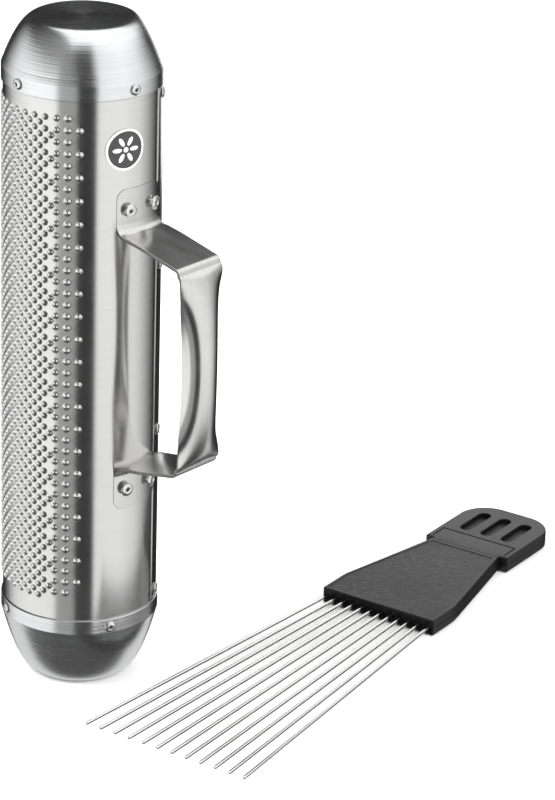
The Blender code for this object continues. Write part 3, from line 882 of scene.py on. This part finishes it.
def tines(place):
    steel = tine_steel()
    for index in range(TINE_COUNT):
        spot, stretch = tine_place(index, -TINE_BURIED)
        length = (TINE_REACH + TINE_BURIED) * stretch
        profile = [(0, length)]
        for i in range(1, 7):
            turn = math.pi / 2 * i / 6
            rounding = 0.25 * MM * (1 - math.cos(turn))
            profile.append((TINE_RADIUS * (0.72 + 0.28 * math.sin(turn)), length - rounding))
        profile += [(TINE_RADIUS, length * i / 12) for i in range(11, -1, -1)] + [(0, 0)]
        wire = turned(f"wire_{index + 1:02d}", profile, 28)
        settle(wire)
        wire.matrix_world = place @ spot
        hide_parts(f"tine_{index + 1:02d}")
        dress(wire, "scraper", "tine_steel", steel)


# --- materials ---


def node(tree, kind, inputs=(), **settings):
    made = tree.nodes.new("ShaderNode" + kind)
    for key, value in settings.items():
        setattr(made, key, value)
    for key, value in dict(inputs).items():
        if isinstance(value, bpy.types.NodeSocket):
            tree.links.new(value, made.inputs[key])
        else:
            made.inputs[key].default_value = value
    return made


def new_material(name, **sockets):
    """A Principled material with uniform values set on its own sockets. The last value is where a point lies
    on its object."""
    material = bpy.data.materials.new(name)
    material.use_nodes = True
    tree = material.node_tree
    shader = tree.nodes["Principled BSDF"]
    for key, value in sockets.items():
        shader.inputs[key.replace("_", " ")].default_value = value
    return material, tree, shader, node(tree, "TexCoord").outputs["Object"]


def noise(tree, vector, stretch, detail=3, roughness=0.5):
    """Noise from 0 to 1 over coordinates stretched by a factor along each axis, in cycles per metre."""
    scaled = node(tree, "VectorMath", {0: vector, 1: stretch}, operation="MULTIPLY")
    inputs = {"Vector": scaled.outputs[0], "Scale": 1, "Detail": detail, "Roughness": roughness}
    return node(tree, "TexNoise", inputs).outputs[0]


def between(tree, value, low, high, from_low=0.3, from_high=0.7):
    """A value's useful range mapped onto low to high."""
    inputs = {"Value": value, "From Min": from_low, "From Max": from_high, "To Min": low, "To Max": high}
    return node(tree, "MapRange", inputs).outputs[0]


def math_node(tree, operation, *values):
    return node(tree, "Math", dict(enumerate(values)), operation=operation).outputs[0]


def sum_of(tree, *values):
    total = values[0]
    for value in values[1:]:
        total = math_node(tree, "ADD", total, value)
    return total


def times(tree, a, b):
    return math_node(tree, "MULTIPLY", a, b)


def blend_of(tree, *shares):
    """The sum of some noises, each given as (noise, its share of the whole)."""
    return sum_of(tree, *[between(tree, value, 0, share) for value, share in shares])


def mixed(tree, factor, first, second, **settings):
    return node(tree, "Mix", {0: factor, 6: first, 7: second}, data_type="RGBA", **settings).outputs[2]


def set_colour(tree, shader, dark, light, value):
    colour = mixed(tree, value, (*dark, 1), (*light, 1), clamp_factor=True)
    tree.links.new(colour, shader.inputs["Base Color"])


def set_roughness(tree, shader, *values):
    tree.links.new(sum_of(tree, *values), shader.inputs["Roughness"])


def set_bump(tree, shader, *layers):
    """Layers of (height from 0 to 1, depth in metres)."""
    height = sum_of(tree, *[times(tree, value, depth / MM) for value, depth in layers])
    bump = node(tree, "Bump", {"Strength": 1, "Distance": MM, "Height": height})
    tree.links.new(bump.outputs[0], shader.inputs["Normal"])


def from_axis(tree, coordinates):
    """Distance from the body's axis."""
    flat = node(tree, "VectorMath", {0: coordinates, 1: (1, 1, 0)}, operation="MULTIPLY").outputs[0]
    return node(tree, "VectorMath", {0: flat}, operation="LENGTH").outputs["Value"]


def brushed_material(name, strength):
    """A metal brushed round the body's axis."""
    made = new_material(name, Metallic=1, Anisotropic=strength, Anisotropic_Rotation=0.25)
    _, tree, shader, _ = made
    tangent = node(tree, "Tangent", direction_type="RADIAL", axis="Z")
    tree.links.new(tangent.outputs[0], shader.inputs["Tangent"])
    return made


def shell_steel():
    """Steel sheet brushed round the body, with fine streaks, faint smudges and bumps worn bright."""
    material, tree, shader, place = brushed_material("brushed_shell", 0.6)
    fine = noise(tree, place, (60, 60, 6000), 3, 0.6)
    broad = noise(tree, place, (25, 25, 700), 2)
    smudge = noise(tree, place, (28, 28, 16), 3)
    worn = between(tree, from_axis(tree, place), 0, 1, BODY_RADIUS + 0.5 * MM, BODY_RADIUS + 0.95 * MM)
    tone = sum_of(tree, blend_of(tree, (fine, 0.45), (broad, 0.15), (smudge, 0.12)), times(tree, worn, 0.35))
    set_colour(tree, shader, (0.69, 0.688, 0.682), (0.83, 0.828, 0.822), tone)
    smudged = between(tree, smudge, -0.02, 0.03)
    set_roughness(tree, shader, between(tree, fine, 0.16, 0.22), smudged, times(tree, worn, -0.04))
    set_bump(tree, shader, (fine, 0.003 * MM), (broad, 0.0006 * MM))
    return material


def turned_aluminium():
    """Spun aluminium: concentric tool lines over the geometry's own ridges, and a few soft stains."""
    if "turned_cap" in bpy.data.materials:
        return bpy.data.materials["turned_cap"]
    material, tree, shader, place = brushed_material("turned_cap", 0.55)
    split = node(tree, "SeparateXYZ", {0: place})
    rings = node(tree, "CombineXYZ", {0: from_axis(tree, place), 1: split.outputs[2], 2: 0}).outputs[0]
    lines = noise(tree, rings, (1900, 1900, 0), 4, 0.6)
    coarse = noise(tree, rings, (520, 520, 0), 2)
    grain = noise(tree, place, (900, 900, 900), 2)
    stain = noise(tree, place, (35, 35, 35), 3)
    tone = blend_of(tree, (lines, 0.5), (coarse, 0.3), (stain, 0.2))
    set_colour(tree, shader, (0.76, 0.765, 0.775), (0.91, 0.915, 0.92), tone)
    stained = between(tree, stain, -0.02, 0.03)
    set_roughness(tree, shader, between(tree, lines, 0.17, 0.25), stained, between(tree, grain, 0, 0.03))
    set_bump(tree, shader, (lines, 0.006 * MM), (coarse, 0.008 * MM), (grain, 0.001 * MM))
    return material


def handle_steel():
    """Strap steel brushed along its length, with satin patches where it was bent and held."""
    material, tree, shader, place = new_material("brushed_strap", Metallic=1)
    run = node(tree, "UVMap", uv_map="strap_run").outputs[0]
    fine = noise(tree, run, (70, 6500, 1), 3, 0.6)
    broad = noise(tree, run, (20, 900, 1), 2)
    patch = noise(tree, place, (55, 55, 45), 3)
    speck = noise(tree, place, (700, 700, 700), 2)
    tone = blend_of(tree, (fine, 0.4), (broad, 0.25), (patch, 0.35))
    set_colour(tree, shader, (0.61, 0.608, 0.602), (0.79, 0.787, 0.78), tone)
    set_roughness(tree, shader, between(tree, fine, 0.18, 0.24), between(tree, patch, -0.02, 0.04))
    set_bump(tree, shader, (fine, 0.003 * MM), (patch, 0.012 * MM), (speck, 0.001 * MM))
    return material


def noisy_material(name, dark, light, layers, **sockets):
    """A material of noises over the object. Each layer is (settings of the noise, share of the colour, least
    and most roughness, depth), with 0 or None for what it leaves alone."""
    material, tree, shader, place = new_material(name, **sockets)
    tones, roughs, bumps = [], [], []
    for texture, share, rough, depth in layers:
        value = noise(tree, place, *texture)
        if share:
            tones.append((value, share))
        if rough:
            roughs.append(between(tree, value, *rough))
        if depth:
            bumps.append((value, depth))
    set_colour(tree, shader, dark, light, blend_of(tree, *tones))
    set_roughness(tree, shader, *roughs)
    set_bump(tree, shader, *bumps)
    return material


def sheared_edge_painted_shade():
    """The strap's cut edges: duller than its faces, with marks across the thickness, and painted dark as
    painted shade for the shadow line along the strap's edges.
    """
    tear = (((900, 900, 1400), 3), 0.6, (0.34, 0.48), 0.02 * MM)
    dirt = (((120, 120, 90), 2), 0.4, None, 0)
    # Painted shade: the dark range of the cut edges stands in for the shadow line along the strap's edges.
    dark, light = (0.10, 0.099, 0.097), (0.30, 0.298, 0.294)
    return noisy_material("sheared_strap_painted_shade", dark, light, (tear, dirt), Metallic=1)


def rivet_aluminium():
    """Tumbled aluminium: finely pitted, with faint stains."""
    pits = (((1500, 1500, 1500), 3), 0.6, (0.14, 0.26), 0.01 * MM)
    stain = (((400, 400, 400), 2), 0.4, None, 0)
    return noisy_material("rivet_heads", (0.72, 0.72, 0.72), (0.88, 0.88, 0.87), (pits, stain), Metallic=1)


def mandrel_steel():
    """The torn end of a mandrel: dark and rough."""
    torn = (((3000, 3000, 3000), 4), 1, (0.35, 0.6), 0.05 * MM)
    return noisy_material("mandrel_ends", (0.05, 0.05, 0.05), (0.2, 0.195, 0.19), (torn,), Metallic=1)


def badge_enamel():
    """Dark grey enamel with a slight orange peel."""
    peel = (((600, 600, 600), 2), 0, (0.3, 0.42), 0.006 * MM)
    fleck = (((4000, 4000, 4000), 2), 1, None, 0)
    dark, light = (0.02, 0.02, 0.0205), (0.036, 0.036, 0.037)
    return noisy_material(
        "enamel_dark", dark, light, (peel, fleck), Coat_Weight=0.6, Coat_Roughness=0.08
    )


def badge_light(name):
    """Near-white enamel, a little dusty."""
    peel = (((700, 700, 700), 2), 0, (0.28, 0.4), 0.005 * MM)
    dust = (((150, 150, 150), 3), 1, None, 0)
    dark, light = (0.70, 0.70, 0.69), (0.86, 0.86, 0.85)
    return noisy_material(name, dark, light, (peel, dust), Coat_Weight=0.4, Coat_Roughness=0.1)


def black_plastic(name, textured):
    """Moulded black plastic: nearly smooth on frames and edges, or with a lengthwise grain on panels."""
    if textured:
        grain, rough, depth = ((640, 150, 500), 3, 0.6), (0.36, 0.5), 0.5 * MM
        dark, light = (0.002, 0.002, 0.0022), (0.012, 0.012, 0.0125)
    else:
        grain, rough, depth = ((1500, 1500, 1500), 2), (0.34, 0.42), 0.006 * MM
        dark, light = (0.003, 0.003, 0.0032), (0.006, 0.006, 0.0063)
    layers = (
        (grain, 0.6, rough, depth),
        (((1500, 700, 1500), 2), 0, None, depth * 0.4),
        (((45, 30, 45), 2), 0.4, (-0.03, 0.03), 0.03 * MM),
    )
    return noisy_material(name, dark, light, layers, IOR=1.45)


def tine_steel():
    """Drawn spring wire: bright, with faint die lines along it and a slight blush of handling."""
    die = (((2600, 2600, 6), 2), 0.5, (0.09, 0.13), 0.001 * MM)
    blush = (((120, 120, 30), 3), 0.5, (-0.02, 0.03), 0)
    return noisy_material("drawn_wire", (0.84, 0.838, 0.83), (0.94, 0.938, 0.93), (die, blush), Metallic=1)


# --- studio ---


def floor():
    corners = ((-1, -1), (1, -1), (1, 1), (-1, 1))
    points = [(x * FLOOR_HALF_SIZE, y * FLOOR_HALF_SIZE, FLOOR_HEIGHT) for x, y in corners]
    ground = new_object("floor", points, [(0, 1, 2, 3)])
    material, tree, shader, place = new_material("floor_paper", Roughness=0.9, Specular_IOR_Level=0.1)
    fibres = noise(tree, place, (300, 300, 300), 3)
    set_colour(tree, shader, (0.93, 0.93, 0.93), (0.96, 0.96, 0.96), between(tree, fibres, 0, 1))
    ground.data.materials.append(material)
    ground.visible_glossy = False


def stops(tree, value, listed, reach=1, smooth=True):
    """A colour ramp through (value, brightness) stops, over -reach to reach."""
    made = node(tree, "ValToRGB", {0: between(tree, value, 0, 1, -reach, reach)})
    made.color_ramp.interpolation = "EASE" if smooth else "LINEAR"
    elements = made.color_ramp.elements
    while len(elements) > 1:
        elements.remove(elements[-1])
    for i, (at, bright) in enumerate(listed):
        position = (at / reach + 1) / 2
        element = elements[0] if i == 0 else elements.new(position)
        element.position = position
        element.color = (bright, bright, bright, 1)
    return made.outputs[0]


def reflected_room(tree):
    """The pattern of panels that the metal reflects: a dark gap on the facing side and another behind, light
    walls at the sides, a light panel overhead, and a ground that is dark in front and light behind."""
    direction = node(tree, "TexCoord").outputs["Generated"]
    turn = {"Vector": direction, "Angle": -math.radians(PATTERN_FACING)}
    turned_round = node(tree, "VectorRotate", turn, rotation_type="Z_AXIS").outputs[0]
    towards, side, up = node(tree, "SeparateXYZ", {0: turned_round}).outputs
    azimuth = times(tree, math_node(tree, "ARCTAN2", side, towards), 180 / math.pi)
    elevation = times(tree, math_node(tree, "ARCSINE", up), 180 / math.pi)
    low, high = (stops(tree, azimuth, walls, 180, False) for walls in (LOW_WALLS, HIGH_WALLS))
    seen = mixed(tree, stops(tree, elevation, HIGH_WALLS_SHARE, 90), low, high)
    rise = math_node(tree, "MAXIMUM", up, 0.01)
    depth, width = (
        stops(tree, math_node(tree, "DIVIDE", offset, rise), panel, 2)
        for offset, panel in ((towards, PANEL_DEPTH), (side, PANEL_WIDTH))
    )
    seen = mixed(tree, times(tree, depth, width), seen, (1, 1, 1, 1))
    seen = mixed(tree, stops(tree, elevation, GROUND_SHARE, 90), seen, stops(tree, towards, GROUND))
    return node(tree, "VectorMath", {0: seen, "Scale": PATTERN_STRENGTH}, operation="SCALE").outputs[0]


def studio():
    """A plain white room, which reflections show as a pattern of panels."""
    world = bpy.data.worlds.new("studio")
    bpy.context.scene.world = world
    world.use_nodes = True
    tree = world.node_tree
    in_reflection = node(tree, "LightPath").outputs["Is Glossy Ray"]
    colour = mixed(tree, in_reflection, (1, 1, 1, 1), reflected_room(tree))
    background = tree.nodes["Background"]
    tree.links.new(colour, background.inputs["Color"])
    background.inputs["Strength"].default_value = 1.0


def flag(place):
    """A black card under the tines that only reflections see, as a studio uses to darken polished edges."""
    points = [place @ Vector((x * MM, y * MM, FLAG_HEIGHT)) for x, y in FLAG_CORNERS]
    card = new_object("flag", points, [(0, 1, 2, 3)])
    material, tree, shader, spot = new_material("flag_cloth", Roughness=0.9)
    weave = noise(tree, spot, (2000, 2000, 2000), 2)
    set_colour(tree, shader, (0.006, 0.006, 0.006), (0.012, 0.012, 0.012), weave)
    card.data.materials.append(material)
    card.visible_camera = card.visible_diffuse = card.visible_shadow = card.visible_transmission = False


def soft_light(name, place, aim, size, power, reflected):
    data = bpy.data.lights.new(name, "AREA")
    data.shape, data.size, data.energy = "DISK", size, power
    lamp = linked(name, data)
    lamp.location = place
    lamp.rotation_euler = (Vector(aim) - Vector(place)).to_track_quat("-Z", "Y").to_euler()
    lamp.visible_glossy = reflected
    lamp.visible_camera = False


def camera():
    data = bpy.data.cameras.new("camera")
    data.lens = CAMERA_LENS
    data.sensor_width = 36
    data.clip_start, data.clip_end = 0.05, 100
    eye = linked("camera", data)
    a, e, r = (math.radians(x) for x in (CAMERA_AZIMUTH, CAMERA_PITCH, CAMERA_ROLL))
    forward = Vector((-math.sin(a) * math.cos(e), math.cos(a) * math.cos(e), -math.sin(e)))
    right = Vector((math.cos(a), math.sin(a), 0))
    up = right.cross(forward)
    rolled_right = right * math.cos(r) + up * math.sin(r)
    rolled_up = up * math.cos(r) - right * math.sin(r)
    turn = Matrix((rolled_right, rolled_up, -forward)).transposed().to_4x4()
    eye.matrix_world = Matrix.Translation(CAMERA_PLACE) @ turn
    bpy.context.scene.camera = eye


def main():
    listed = rivet_list()
    drills = rivet_drills(listed)
    body_shell(drills)
    end_cap("spun_cap_top", "top_cap", HIGH_RIM, TOP_CAP_HEIGHT, TOP_LIP_RIDGES, False, drills)
    end_cap("spun_cap_bottom", "bottom_cap", LOW_RIM, BOTTOM_CAP_HEIGHT, BOTTOM_LIP_RIDGES, True, drills)
    handle_strap(drills)
    bpy.data.objects.remove(drills)
    badge()
    rivets(listed)
    place = Matrix.Translation(SCRAPER_PLACE) @ Matrix.Rotation(math.radians(SCRAPER_TURN), 4, "Z")
    scraper(place)
    tines(place)
    floor()
    flag(place)
    studio()
    for lamp in LAMPS:
        soft_light(*lamp)
    camera()
    bpy.context.scene.view_settings.view_transform = "Standard"


main()
